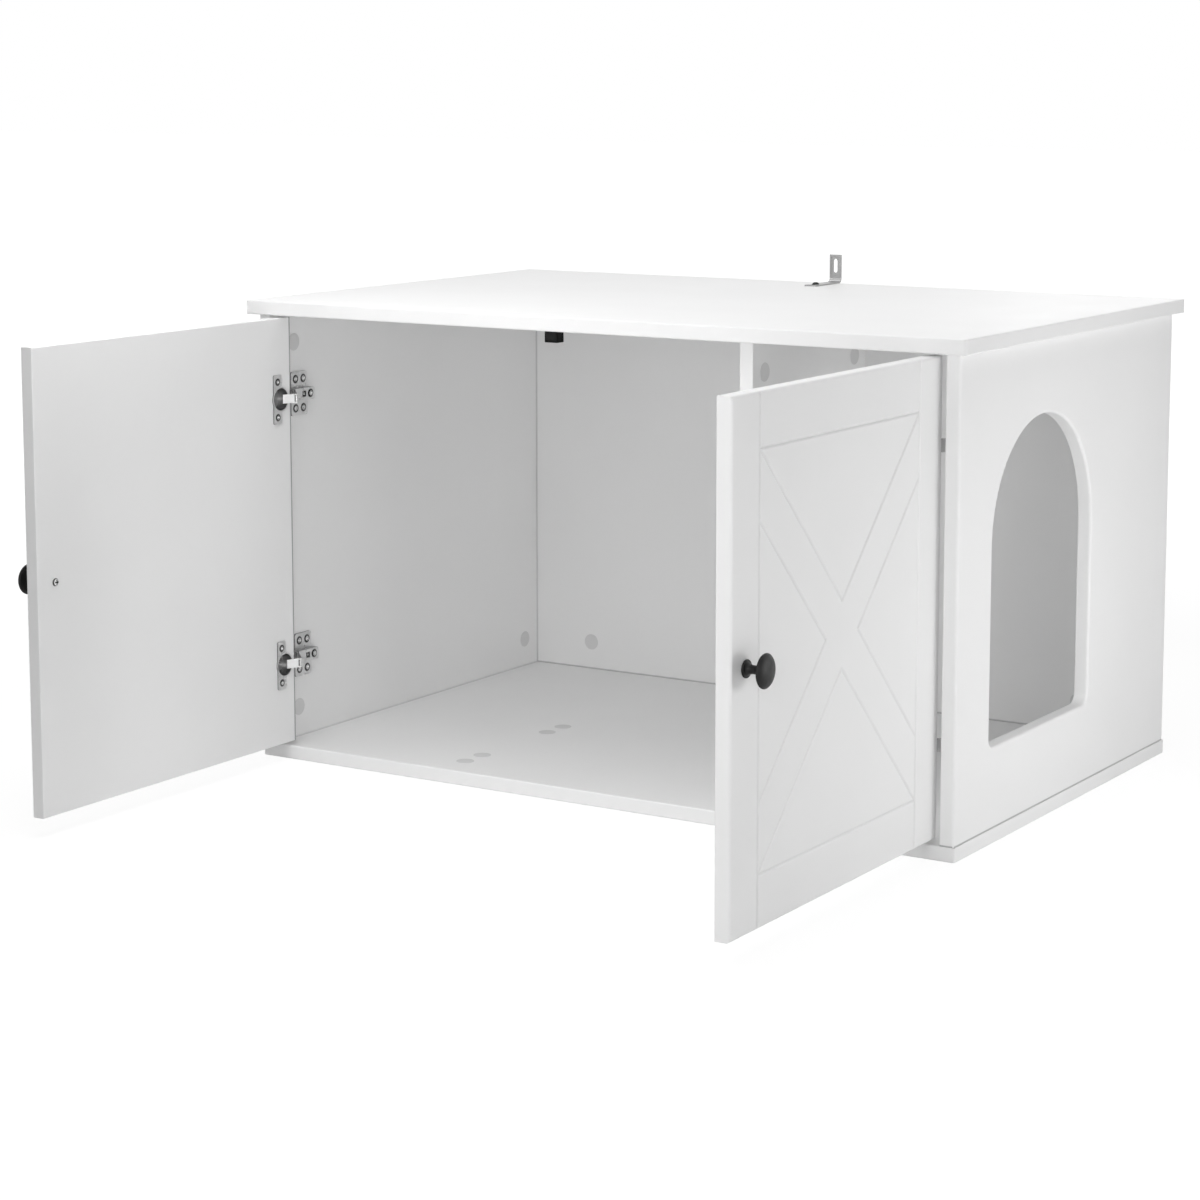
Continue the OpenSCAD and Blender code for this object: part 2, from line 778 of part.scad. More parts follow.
module hinge_plate(side, z) {
    r = plate_corner_r;
    tongue_l = arm_y + arm_l + 1 - plate_y;
    color(nickel) hand(side) at_plate(z) difference() {
        along_x(plate_t) {
            translate([plate_y, -plate_h / 2]) rounded_rect(plate_l, plate_h, [r, r, r, r]);
            translate([plate_y, -tongue_w / 2]) rounded_rect(tongue_l, tongue_w, [1, r, r, 1]);
        }
        plate_screw_places() rotate([0, 90, 0]) screw_hole(hinge_screw_d, hinge_screw_head_d, plate_t);
        translate([-cut, arm_screw_y, 0]) rotate([0, 90, 0]) {
            cylinder(d = adjust_screw_d + 2 * seat_gap, h = plate_t + 2 * cut);
        }
    }
}

module plate_screws(side) {
    color(nickel) hand(side) for (z = hinge_zs) at_plate(z) plate_screw_places() {
        translate([plate_t, 0, 0]) rotate([0, 90, 0]) {
            countersunk_screw(hinge_screw_d, hinge_screw_head_d, plate_screw_l);
        }
    }
}

// The cranked strap's centre line: it leaves the channel level, rises and ends level at the nose
function strap_point(t) = [
    arm_h - strap_t / 2 + (nose_in - arm_h + strap_t / 2) * (1 - cos(180 * t)) / 2,
    arm_bend_y + (nose_back - arm_bend_y) * t
];
function strap_side(t, off) =
    let (run = strap_point(t + 0.001) - strap_point(t - 0.001)) strap_point(t)
        + off * [-run.y, run.x] / norm(run);

// The arm's channel, open towards the plate
module arm_channel() {
    r = arm_corner_r;
    inner_r = r - arm_t;
    difference() {
        translate([plate_t, 0, 0]) along_x(arm_h - plate_t) translate([arm_y, -arm_w / 2]) {
            rounded_rect(arm_l, arm_w, [0.5, r, r, 0.5]);
        }
        translate([plate_t - cut, 0, 0]) along_x(arm_h - plate_t - arm_t + cut) {
            translate([arm_y - cut, arm_t - arm_w / 2]) {
                rounded_rect(arm_l - arm_t + cut, arm_w - 2 * arm_t, [0, inner_r, inner_r, 0]);
            }
        }
        translate([0, arm_slot_y - arm_slot / 2, -arm_slot / 2]) cube([arm_h + cut, arm_slot, arm_slot]);
        translate([0, arm_screw_y, 0]) rotate([0, 90, 0]) {
            cylinder(d = adjust_screw_d + 0.4, h = arm_h + cut);
            dimple(adjust_head_d, arm_h);
        }
    }
}

// The strap narrows from the channel's width to the nose's
module arm_strap() {
    steps = 12;
    side_a = [for (i = [0 : steps]) strap_side(i / steps, strap_t / 2)];
    side_b = [for (i = [steps : -1 : 0]) strap_side(i / steps, -strap_t / 2)];
    intersection() {
        translate([0, 0, -arm_w / 2]) linear_extrude(arm_w) polygon(concat(side_a, side_b));
        along_x(nose_in + 2 * cut) polygon([
            [nose_back - cut, -nose_w / 2], [arm_y - 7, -nose_w / 2], [arm_y - 1, -arm_w / 2],
            [arm_bend_y + cut, -arm_w / 2], [arm_bend_y + cut, arm_w / 2], [arm_y - 1, arm_w / 2],
            [arm_y - 7, nose_w / 2], [nose_back - cut, nose_w / 2]
        ]);
    }
}

module hinge_arm(side, z) {
    color(nickel) hand(side) at_plate(z) difference() {
        union() {
            arm_channel();
            arm_strap();
            translate([nose_in, nose_back, -nose_w / 2]) cylinder(r = nose_r, h = nose_w);
        }
        translate([nose_in, nose_back, -nose_w / 2 - cut]) cylinder(r = pin_r + 0.02, h = nose_w + 2 * cut);
    }
}

module hinge_pins(side) {
    color(zinc) hand(side) for (z = hinge_zs) at_plate(z) translate([nose_in, nose_back, -link_h / 2]) {
        cylinder(r = pin_r, h = link_h);
    }
}

// The link hangs on the nose pin by two ears and reaches into the cup
module hinge_link(side, z) {
    color(nickel) hand(side) at_plate(z) translate([nose_in, nose_back, 0]) {
        rotate([0, 0, link_closed + link_turn * open_angle]) difference() {
            union() {
                translate([web_start, -web_t / 2, -link_h / 2]) cube([link_l - web_start, web_t, link_h]);
                translate([link_l, 0, -link_h / 2]) cylinder(d = web_t, h = link_h);
                for (m = [0, 1]) mirror([0, 0, m]) translate([0, 0, nose_w / 2 + ear_gap]) {
                    cylinder(r = ear_r, h = ear_t);
                    translate([0, -ear_r, 0]) cube([ear_l, 2 * ear_r, ear_t]);
                }
            }
            translate([0, 0, -link_h / 2 - cut]) cylinder(r = pin_r + pin_gap, h = link_h + 2 * cut);
        }
    }
}

// The height setting stud in the arm's square slot and the clamping screw behind it
module adjusting_screws(side) {
    color(nickel) hand(side) for (z = hinge_zs) at_plate(z) {
        translate([plate_t, arm_slot_y, 0]) rotate([0, 90, 0]) {
            cylinder(d = adjust_stud_d, h = arm_h - plate_t - 0.3);
        }
        translate([0, arm_screw_y, 0]) rotate([0, 90, 0]) difference() {
            union() {
                translate([0, 0, 0.2]) cylinder(d = adjust_screw_d, h = arm_h - dimple_depth);
                translate([0, 0, arm_h - dimple_depth]) cylinder(d = adjust_head_d, h = adjust_head_t);
            }
            mirror([0, 0, 1]) cross_recess(adjust_head_d * 0.6, 0.9, dimple_depth - arm_h - adjust_head_t, 1);
        }
    }
}

// Catch
// The catch's front lies just behind the closed left door
module at_catch() {
    translate([-catch_x, front_y + door_t + 0.3, ceiling_z - catch_h]) children();
}

module at_catch_screw() {
    at_catch() translate([0, catch_d * 0.68, catch_h]) children();
}

module catch_housing() {
    color(black) difference() {
        at_catch() translate([-catch_w / 2, 0, 0]) linear_extrude(catch_h) {
            rounded_rect(catch_w, catch_d, [1, 1, 1.5, 1.5]);
        }
        at_catch() translate([-magnet_w / 2 - seat_gap, -cut, 2.5 - seat_gap]) {
            cube([magnet_w + 2 * seat_gap, magnet_t + cut + seat_gap, magnet_h + 2 * seat_gap]);
        }
        at_catch_screw() translate([0, 0, -catch_h - cut]) {
            cylinder(d = small_screw_d + 0.4, h = catch_h + 2 * cut);
            cylinder(d = small_screw_head_d + 0.4, h = catch_h / 2 + cut);
        }
    }
}

module catch_magnet() {
    color(magnet_grey) at_catch() translate([-magnet_w / 2, 0, 2.5]) cube([magnet_w, magnet_t, magnet_h]);
}

module catch_screw() {
    r = small_screw_head_d / 2;
    color(zinc) at_catch_screw() translate([0, 0, -catch_h / 2]) difference() {
        union() {
            translate([0, 0, -1.6]) cylinder(r = r, h = 1.6);
            cylinder(d = small_screw_d - 2 * seat_gap, h = catch_h / 2 + 7);
        }
        cross_recess(r, 0.9, -1.6, 0.9);
    }
}

// Wall bracket
// The screw's place in the middle of the slot on the top panel, at the top surface
module at_bracket_screw() {
    translate([0, top_d / 2 - bracket_l + slot_edge + slot_l / 2, overall_h]) children();
}

// A slot with round ends, centred, running along Y
module slot_shape() {
    square([slot_w, slot_l - slot_w], center = true);
    for (m = [-1, 1]) translate([0, m * (slot_l - slot_w) / 2]) circle(d = slot_w);
}

// The bracket's side view: two legs joined by a bend
module bracket_profile() {
    r = bracket_bend_r;
    difference() {
        translate([top_d / 2 - bracket_l, overall_h]) {
            rounded_rect(bracket_l, bracket_h, [0, r + bracket_t, 0, 0]);
        }
        translate([top_d / 2 - bracket_l - cut, overall_h + bracket_t]) {
            rounded_rect(bracket_l + cut - bracket_t, bracket_h, [0, r, 0, 0]);
        }
    }
}

// The shallow pressed panel round the slot in the upright leg's front face
module bracket_press() {
    w = bracket_w - 2 * press_edge;
    low_z = overall_h + bracket_t + bracket_bend_r + press_edge;
    translate([-w / 2, top_d / 2 - bracket_t - cut, low_z]) {
        cube([w, cut + press_depth, overall_h + bracket_h - press_edge - low_z]);
    }
}

module wall_bracket() {
    color(zinc) difference() {
        translate([-bracket_w / 2, 0, 0]) along_x(bracket_w) bracket_profile();
        at_bracket_screw() translate([0, 0, -cut]) linear_extrude(bracket_t + 2 * cut) slot_shape();
        translate([0, top_d / 2 - bracket_t - cut, overall_h + bracket_h - slot_edge - slot_l / 2]) {
            along_y(bracket_t + 2 * cut) slot_shape();
        }
        bracket_press();
    }
}

module bracket_screw() {
    head_h = 2.6;
    r = bracket_screw_head_d / 2;
    color(black) at_bracket_screw() difference() {
        union() {
            translate([0, 0, bracket_t]) rotate_extrude() polygon(concat(
                [[0, 0]], ellipse_arc([0, 0], r, head_h, 0, 90, 5)
            ));
            translate([0, 0, 0.2 - bracket_screw_l]) {
                cylinder(d = small_screw_d, h = bracket_screw_l + bracket_t);
            }
        }
        mirror([0, 0, 1]) cross_recess(4, 1, -bracket_t - head_h, 1.4);
    }
}

top_panel();
base_panel();
left_side_panel();
right_side_panel();
back_panel();
divider_panel();
door("left");  // left_door_panel
door("right");  // right_door_panel
cams(LEFT);  // left_side_cams
cams(RIGHT);  // right_side_cams
cams(DIVIDER);  // divider_cams
cams(BACK);  // back_cams
bolts(LEFT);  // left_side_bolts
bolts(RIGHT);  // right_side_bolts
bolts(DIVIDER);  // divider_bolts
bolts(BACK);  // back_bolts
dowels(LEFT);  // left_side_dowels
dowels(RIGHT);  // right_side_dowels
dowels(DIVIDER);  // divider_dowels
dowels(BACK);  // back_dowels
cover_discs(LEFT);  // left_side_cover_discs
cover_discs(RIGHT);  // right_side_cover_discs
cover_discs(DIVIDER);  // divider_cover_discs
cover_discs(BACK);  // back_cover_discs
base_cover_discs();
top_cover_discs();
hinge_plate("left", hinge_zs[1]);  // left_upper_hinge_plate
hinge_plate("left", hinge_zs[0]);  // left_lower_hinge_plate
hinge_plate("right", hinge_zs[1]);  // right_upper_hinge_plate
hinge_plate("right", hinge_zs[0]);  // right_lower_hinge_plate
hinge_arm("left", hinge_zs[1]);  // left_upper_hinge_arm
hinge_arm("left", hinge_zs[0]);  // left_lower_hinge_arm
hinge_arm("right", hinge_zs[1]);  // right_upper_hinge_arm
hinge_arm("right", hinge_zs[0]);  // right_lower_hinge_arm
hinge_link("left", hinge_zs[1]);  // left_upper_hinge_link
hinge_link("left", hinge_zs[0]);  // left_lower_hinge_link
hinge_link("right", hinge_zs[1]);  // right_upper_hinge_link
hinge_link("right", hinge_zs[0]);  // right_lower_hinge_link
hinge_cup("left", hinge_zs[1]);  // left_upper_hinge_cup
hinge_cup("left", hinge_zs[0]);  // left_lower_hinge_cup
hinge_cup("right", hinge_zs[1]);  // right_upper_hinge_cup
hinge_cup("right", hinge_zs[0]);  // right_lower_hinge_cup
hinge_pins("left");  // left_hinge_pins
hinge_pins("right");  // right_hinge_pins
plate_screws("left");  // left_plate_screws
plate_screws("right");  // right_plate_screws
adjusting_screws("left");  // left_adjusting_screws
adjusting_screws("right");  // right_adjusting_screws
cup_screws("left");  // left_cup_screws
cup_screws("right");  // right_cup_screws
knob("left");  // left_knob
knob("right");  // right_knob
knob_screw("left");  // left_knob_screw
knob_screw("right");  // right_knob_screw
catch_housing();
catch_magnet();
catch_screw();
wall_bracket();
bracket_screw();
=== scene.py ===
"""Looks, light and camera of the cat litter cabinet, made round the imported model."""
import json
import math

import bpy
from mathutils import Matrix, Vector

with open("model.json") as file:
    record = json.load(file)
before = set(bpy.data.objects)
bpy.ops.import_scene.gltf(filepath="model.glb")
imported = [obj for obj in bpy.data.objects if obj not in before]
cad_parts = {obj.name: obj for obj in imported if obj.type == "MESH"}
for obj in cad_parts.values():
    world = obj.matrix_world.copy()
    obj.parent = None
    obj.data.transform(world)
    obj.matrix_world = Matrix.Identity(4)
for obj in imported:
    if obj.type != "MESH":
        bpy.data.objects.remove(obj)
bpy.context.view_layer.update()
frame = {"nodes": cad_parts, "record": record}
scene = bpy.context.scene
scene.view_settings.view_transform = "Standard"


# Camera: the photograph's place and aim, with its large vertical shift partly replaced by a
# downward tilt, so that other views keep the object in the frame
CAMERA_AT = Vector((1.5775, -2.7274, 0.7570))
YAW, PITCH = math.radians(31.961), math.radians(7.724)
FOCAL_PX, FRAME_PX, SENSOR = 2932.8, 1200, 36.0

camera_data = bpy.data.cameras.new("camera")
camera_data.sensor_width = SENSOR
camera_data.lens = SENSOR * FOCAL_PX / FRAME_PX
camera_data.shift_x = -0.0154
camera_data.shift_y = -0.12
camera = bpy.data.objects.new("camera", camera_data)
scene.collection.objects.link(camera)
looking = Vector((
    -math.sin(YAW) * math.cos(PITCH), math.cos(YAW) * math.cos(PITCH), -math.sin(PITCH)
))
camera.location = CAMERA_AT
camera.rotation_euler = looking.to_track_quat("-Z", "Y").to_euler()
scene.camera = camera


# Node helpers
def new_node(tree, kind, **values):
    """A node whose attributes and input sockets are set by name."""
    made = tree.nodes.new("ShaderNode" + kind)
    for name, value in values.items():
        if name.startswith("in_"):
            made.inputs[name[3:].replace("_", " ")].default_value = value
        else:
            setattr(made, name, value)
    return made


def object_noise(tree, scale, detail=2.0, stretch=(1, 1, 1)):
    """Noise in the object's own metres, stretched by a scale along each axis."""
    coords = new_node(tree, "TexCoord")
    mapping = new_node(tree, "Mapping")
    mapping.inputs["Scale"].default_value = stretch
    noise = new_node(tree, "TexNoise", in_Scale=scale, in_Detail=detail)
    tree.links.new(coords.outputs["Object"], mapping.inputs["Vector"])
    tree.links.new(mapping.outputs["Vector"], noise.inputs["Vector"])
    return noise.outputs["Fac"]


def ranged(tree, source, low, high, start=0.3, end=0.7):
    """A value moved from start..end to low..high, and held there beyond them."""
    made = new_node(tree, "MapRange", in_From_Min=start, in_From_Max=end)
    made.inputs["To Min"].default_value = low
    made.inputs["To Max"].default_value = high
    tree.links.new(source, made.inputs["Value"])
    return made.outputs["Result"]


def mixed_colours(tree, under, over, factor):
    """One colour laid over another by a factor. The lower one is a socket or a colour."""
    made = new_node(tree, "Mix", data_type="RGBA")
    lower, upper = (socket for socket in made.inputs if socket.type == "RGBA")
    if isinstance(under, tuple):
        lower.default_value = (*under, 1)
    else:
        tree.links.new(under, lower)
    upper.default_value = (*over, 1)
    tree.links.new(factor, made.inputs["Factor"])
    return next(socket for socket in made.outputs if socket.type == "RGBA")


def object_axes(tree, output="Object"):
    """The X, Y and Z of the object's own place, in metres, or of its own normal."""
    parts = new_node(tree, "SeparateXYZ")
    tree.links.new(new_node(tree, "TexCoord").outputs[output], parts.inputs[0])
    return parts.outputs


def calc(tree, operation, *values):
    """A Math node's result. Each value is a socket or a number."""
    made = new_node(tree, "Math", operation=operation)
    for socket, value in zip(made.inputs, values):
        if isinstance(value, (int, float)):
            socket.default_value = value
        else:
            tree.links.new(value, socket)
    return made.outputs[0]


def unsigned(tree, value):
    return calc(tree, "ABSOLUTE", value)


def minus(tree, value, less):
    return calc(tree, "SUBTRACT", value, less)


def distance_from(tree, value, centre):
    """How far a value is from a centre, on either side."""
    return unsigned(tree, minus(tree, value, centre))


def distance_across(tree, first, second):
    """The length of a step with these two sides."""
    return calc(tree, "SQRT", calc(
        tree, "ADD", calc(tree, "POWER", first, 2), calc(tree, "POWER", second, 2)))


def above(tree, value, limit):
    """1 where the value is above the limit, else 0."""
    return calc(tree, "GREATER_THAN", value, limit)


def below(tree, value, limit):
    """1 where the value is below the limit, else 0."""
    return calc(tree, "LESS_THAN", value, limit)


def product(tree, *factors):
    made, *rest = factors
    for factor in rest:
        made = calc(tree, "MULTIPLY", made, factor)
    return made


def largest(tree, *values):
    made, *rest = values
    for value in rest:
        made = calc(tree, "MAXIMUM", made, value)
    return made


def new_material(
        name, low, high, tone_scale, rough, rough_scale, bump=None, stretch=(1, 1, 1), marks=(),
        **shader_values):
    """A material with a mottled colour, an uneven gloss and a fine relief.

    bump is (scale, strength, height in metres). Each mark is (function giving a factor, colour)."""
    made = bpy.data.materials.new(name)
    made.use_nodes = True
    tree = made.node_tree
    tree.nodes.clear()
    output = new_node(tree, "OutputMaterial")
    shader = new_node(tree, "BsdfPrincipled")
    for socket, value in shader_values.items():
        shader.inputs[socket.replace("_", " ")].default_value = value
    tone = ranged(tree, object_noise(tree, tone_scale, 3.0, stretch), 0, 1)
    colour = mixed_colours(tree, low, high, tone)
    for factor, mark_colour in marks:
        colour = mixed_colours(tree, colour, mark_colour, factor(tree))
    tree.links.new(colour, shader.inputs["Base Color"])
    gloss = ranged(tree, object_noise(tree, rough_scale, 2.0, stretch), *rough)
    tree.links.new(gloss, shader.inputs["Roughness"])
    if bump:
        scale, strength, height = bump
        relief = new_node(tree, "Bump", in_Strength=strength, in_Distance=height)
        tree.links.new(object_noise(tree, scale, 2.0, stretch), relief.inputs["Height"])
        tree.links.new(relief.outputs["Normal"], shader.inputs["Normal"])
    tree.links.new(shader.outputs["BSDF"], output.inputs["Surface"])
    return made


def grey(level):
    return (level, level, level)


# Marks: where a material is darker, in the shared frame's metres at rest. The doors and the side
# panels are mirrored about X = 0, so their X is taken without its sign.
MID_Z = 0.251
DOOR_OUTER, DOOR_INNER, DOOR_HINGE_Y = 0.3936, 0.3786, -0.257
DOOR_MID_Y, DOOR_HALF_W, DOOR_HALF_H = -0.4555, 0.1985, 0.2315
INNER_X, INNER_BACK, INNER_FLOOR, INNER_TOP = 0.4, 0.252, 0.015, 0.485
OUTER_X, OUTER_FRONT, OUTER_REAR = 0.415, -0.264, 0.264
DIVIDER_X, DIVIDER_HALF, DIVIDER_BACK = 0.177, 0.0075, -0.0095
# How far outside its plane a point still counts as on it
SLACK = 0.0004

# The depth at which a groove's shade is full, the depth at which it ends, and the door's rim,
# whose easing has no shade
GROOVE_SHADE_FULL, GROOVE_SHADE_END, DOOR_RIM = 0.0007, 0.002, 0.0025
# The shade beside the hinges grows along Y between these, and ends at this distance from X = 0
HINGE_SHADE_Y = (DOOR_HINGE_Y - 0.0030, DOOR_HINGE_Y - 0.0015)
HINGE_SHADE_X = DOOR_INNER + 0.0014

JOINT_WIDTH, SEAM_WIDTH = 0.0022, 0.0016
# The upright seams: where the shade starts to fade and where it ends on either side, how far it
# goes in from the back panel's outer face, and how far from the panel's ends it stops
UPRIGHT_FADE, UPRIGHT_DEPTH, UPRIGHT_END = (0.0004, 0.0012), 0.0015, 0.0002
# How dark the inner joints are: the two faces that meet, and the share of the mark's colour
JOINTS = [
    ("back", "floor", 1.0), ("side", "back", 0.6), ("side", "floor", 0.4), ("side", "top", 0.6),
    ("back", "top", 0.6), ("divider", "floor", 0.5), ("divider", "top", 0.5),
]

HINGE_HALF_Z = 0.1445
# The cups: where they start in Y, the least distance of their insides from X = 0, the share of
# the shade at their hinge side, and the stretch of Y over which it falls to that
CUP_EDGE_Y, CUP_MOUTH_X = -0.2605, DOOR_INNER + 0.0003
CUP_LEAST, CUP_FADE_Y = 0.4, (-0.281, -0.275)
# The hinges' screw heads: Y, half step in Y, half step in Z from the hinge's middle, radius
HINGE_HEADS = [
    (-0.2177, 0.0067, 0.016, 0.0035), (-0.281, 0.0, 0.019, 0.0028), (-0.209, 0.0, 0.0, 0.0035),
]
# How far outside a head its ring of painted shade lies, and the distances over which the ring fades
RING_GAP, RING_FADE = 0.0002, (0.0007, 0.0013)
# The part of a normal along X at which a sheet's edge starts to turn into its face, and ends
SHEET_EDGE_FADE = (0.4, 0.8)
# The head of the knob's screw: its Y, its rim from inside to outside, and its cross's reach and
# half width
KNOB_Y, KNOB_RIM, KNOB_CROSS, KNOB_CROSS_HALF = -0.629, (0.0031, 0.0045), 0.0025, 0.0007


def groove_shade(tree):
    """The doors' grooves, which hold a little shade."""
    x, y, z = object_axes(tree)
    depth = minus(tree, DOOR_OUTER, unsigned(tree, x))
    return product(
        tree, ranged(tree, depth, 0, 1, 0.0, GROOVE_SHADE_FULL),
        below(tree, depth, GROOVE_SHADE_END),
        below(tree, distance_from(tree, y, DOOR_MID_Y), DOOR_HALF_W - DOOR_RIM),
        below(tree, distance_from(tree, z, MID_Z), DOOR_HALF_H - DOOR_RIM),
    )


def hinge_edge_shade(tree):
    """The doors' inner corner beside the side panels."""
    x, y, _ = object_axes(tree)
    return product(
        tree, ranged(tree, y, 0, 1, *HINGE_SHADE_Y), below(tree, unsigned(tree, x), HINGE_SHADE_X))


def joint_shade(tree):
    """The corners where the boards meet inside the cabinet, darkest along the back panel's foot."""
    x, y, z = object_axes(tree)
    gaps = {
        "side": minus(tree, INNER_X, unsigned(tree, x)),
        "back": minus(tree, INNER_BACK, y),
        "floor": minus(tree, z, INNER_FLOOR),
        "top": minus(tree, INNER_TOP, z),
        "divider": largest(
            tree, minus(tree, distance_from(tree, x, DIVIDER_X), DIVIDER_HALF),
            minus(tree, y, DIVIDER_BACK)),
    }
    near = {name: ranged(tree, gap, 1, 0, 0.0, JOINT_WIDTH) for name, gap in gaps.items()}
    shades = [product(tree, near[first], near[second], share) for first, second, share in JOINTS]
    return product(
        tree, largest(tree, *shades), *(above(tree, gap, -SLACK) for gap in gaps.values()))


def seam_shade(tree):
    """The outer seams: at the feet of the side and back panels, and beside the back panel."""
    x, y, z = object_axes(tree)
    aside = unsigned(tree, x)
    side, front, rear, foot = (
        product(tree, ranged(tree, gap, 1, 0, 0.0, SEAM_WIDTH), above(tree, gap, -SLACK))
        for gap in (
            minus(tree, aside, OUTER_X), minus(tree, OUTER_FRONT, y), minus(tree, y, OUTER_REAR),
            minus(tree, z, INNER_FLOOR),
        )
    )
    front = product(tree, front, above(tree, aside, INNER_X))
    feet = product(tree, foot, largest(tree, side, front, rear))
    upright = product(
        tree, ranged(tree, distance_from(tree, aside, INNER_X), 1, 0, *UPRIGHT_FADE),
        above(tree, y, OUTER_REAR - UPRIGHT_DEPTH),
        above(tree, z, INNER_FLOOR + UPRIGHT_END), below(tree, z, INNER_TOP - UPRIGHT_END))
    return largest(tree, feet, upright)


def screw_rim_shade(tree):
    """Painted shade in rings round the heads of the hinges' screws, the shadow of the gap between
    each head and its dimple.
    """
    _, y, z = object_axes(tree)
    from_hinge = distance_from(tree, distance_from(tree, z, MID_Z), HINGE_HALF_Z)
    nearest = 1.0
    for centre, step_y, step_z, radius in HINGE_HEADS:
        across = distance_across(
            tree, minus(tree, distance_from(tree, y, centre), step_y),
            minus(tree, from_hinge, step_z))
        nearest = calc(tree, "MINIMUM", nearest, distance_from(tree, across, radius + RING_GAP))
    return ranged(tree, nearest, 1, 0, *RING_FADE)


def knob_screw_shade(tree):
    """Painted shade in the rim and the cross recess of the head on each door's inner face."""
    _, y, z = object_axes(tree)
    off_y, off_z = distance_from(tree, y, KNOB_Y), distance_from(tree, z, MID_Z)
    across = distance_across(tree, off_y, off_z)
    rim = product(tree, above(tree, across, KNOB_RIM[0]), below(tree, across, KNOB_RIM[1]))
    cross = product(
        tree, below(tree, calc(tree, "MINIMUM", off_y, off_z), KNOB_CROSS_HALF),
        below(tree, across, KNOB_CROSS))
    return largest(tree, rim, cross)


def cup_shade(tree):
    """Painted shade in the cups' insides, darkest on the side away from the hinge."""
    x, y, _ = object_axes(tree)
    return product(
        tree, below(tree, y, CUP_EDGE_Y), above(tree, unsigned(tree, x), CUP_MOUTH_X),
        ranged(tree, y, 1, CUP_LEAST, *CUP_FADE_Y))


def sheet_edge_shade(tree):
    """Painted shade on the edges of sheets that lie across the object's X."""
    return ranged(tree, unsigned(tree, object_axes(tree, "Normal")[0]), 1, 0, *SHEET_EDGE_FADE)


# Materials, by the record's slot
LACQUER_PEEL = (700, 0.06, 0.0003)
BOARD_MARKS = [(joint_shade, grey(0.45)), (seam_shade, grey(0.36))]
MATERIALS = {
    "board": new_material(
        "lacquered_board", grey(0.865), grey(0.885), 5, (0.38, 0.46), 14, LACQUER_PEEL,
        marks=BOARD_MARKS),
    "door_board": new_material(
        "lacquered_door", grey(0.862), grey(0.882), 6, (0.37, 0.45), 16, LACQUER_PEEL,
        marks=[(groove_shade, grey(0.82)), (hinge_edge_shade, grey(0.3))]),
    "back_board": new_material(
        "lacquered_back", grey(0.855), grey(0.875), 5, (0.42, 0.5), 14, LACQUER_PEEL,
        marks=BOARD_MARKS),
    "cover_disc": new_material(
        "cover_disc", grey(0.68), grey(0.71), 60, (0.5, 0.6), 120, (1500, 0.1, 0.0002)),
    "dowel_wood": new_material(
        "beech", (0.60, 0.42, 0.24), (0.74, 0.56, 0.36), 220, (0.6, 0.75), 300,
        (900, 0.3, 0.0002), stretch=(1, 1, 0.08)),
    "zinc": new_material(
        "zinc_casting", grey(0.5), grey(0.62), 260, (0.36, 0.52), 300,
        (1400, 0.12, 0.0002), Metallic=1.0),
    "knob_black": new_material(
        "black_paint", grey(0.007), grey(0.011), 150, (0.40, 0.50), 200,
        (2200, 0.08, 0.0001), Specular_IOR_Level=0.22),
    "catch_plastic": new_material(
        "black_plastic", grey(0.004), grey(0.008), 200, (0.45, 0.6), 400,
        (3000, 0.2, 0.0001), Specular_IOR_Level=0.1),
    "magnet": new_material(
        "ferrite", grey(0.010), grey(0.016), 500, (0.5, 0.65), 600, (2500, 0.2, 0.0001),
        Specular_IOR_Level=0.15),
    "bracket_steel": new_material(
        "zinc_plated_steel", grey(0.32), grey(0.36), 180, (0.30, 0.40), 240,
        (900, 0.1, 0.0001), stretch=(1, 0.1, 0.1), Metallic=1.0),
    "black_screw": new_material(
        "black_oxide", grey(0.006), grey(0.012), 300, (0.3, 0.45), 500,
        (2500, 0.1, 0.0001), Specular_IOR_Level=0.2),
    "hinge_nickel": new_material(
        "nickel_plate", grey(0.80), grey(0.83), 80, (0.26, 0.31), 120, (1200, 0.04, 0.0001),
        marks=[(sheet_edge_shade, grey(0.25)), (screw_rim_shade, grey(0.12)), (cup_shade, grey(0.14))],
        Metallic=1.0),
    # The strap: near white and partly diffuse, for its brighter polish and for a painted reflection
    # of the lamps that makes it read white
    "hinge_bright": new_material(
        "polished_strap_painted_glint", grey(0.95), grey(0.98), 120, (0.34, 0.42), 160,
        (1200, 0.03, 0.0001), Metallic=0.25),
    "screw_nickel": new_material(
        "screw_nickel", grey(0.66), grey(0.74), 300, (0.2, 0.3), 400, (2000, 0.06, 0.0001),
        marks=[(screw_rim_shade, grey(0.12)), (knob_screw_shade, grey(0.08))], Metallic=1.0),
}
for part in frame["record"]["subparts"]:
    mesh = frame["nodes"][part["node"]].data
    mesh.materials.clear()
    mesh.materials.append(MATERIALS[part["material_slot"]])


# Floor and sky
FLOOR_SIZE = 40.0
SKY_LIGHT = 0.06
# The floor's own glow near the object and far from it, where the lamps don't reach
FLOOR_GLOW, FLOOR_SHADE = (0.88, 1.1), 0.16
FADE_START, FADE_END = 0.9, 3.0


def seen_directly(tree):
    """1 for camera, glossy and transmission rays, else 0."""
    path = new_node(tree, "LightPath")
    total = path.outputs["Is Camera Ray"]
    for name in ("Is Glossy Ray", "Is Transmission Ray"):
        added = new_node(tree, "Math", operation="ADD", use_clamp=True)
        tree.links.new(total, added.inputs[0])
        tree.links.new(path.outputs[name], added.inputs[1])
        total = added.outputs["Value"]
    return total


def mixed_shaders(tree, factor, first, second, output):
    mix = new_node(tree, "MixShader")
    tree.links.new(factor, mix.inputs["Fac"])
    tree.links.new(first.outputs[0], mix.inputs[1])
    tree.links.new(second.outputs[0], mix.inputs[2])
    tree.links.new(mix.outputs["Shader"], output.inputs["Surface"])


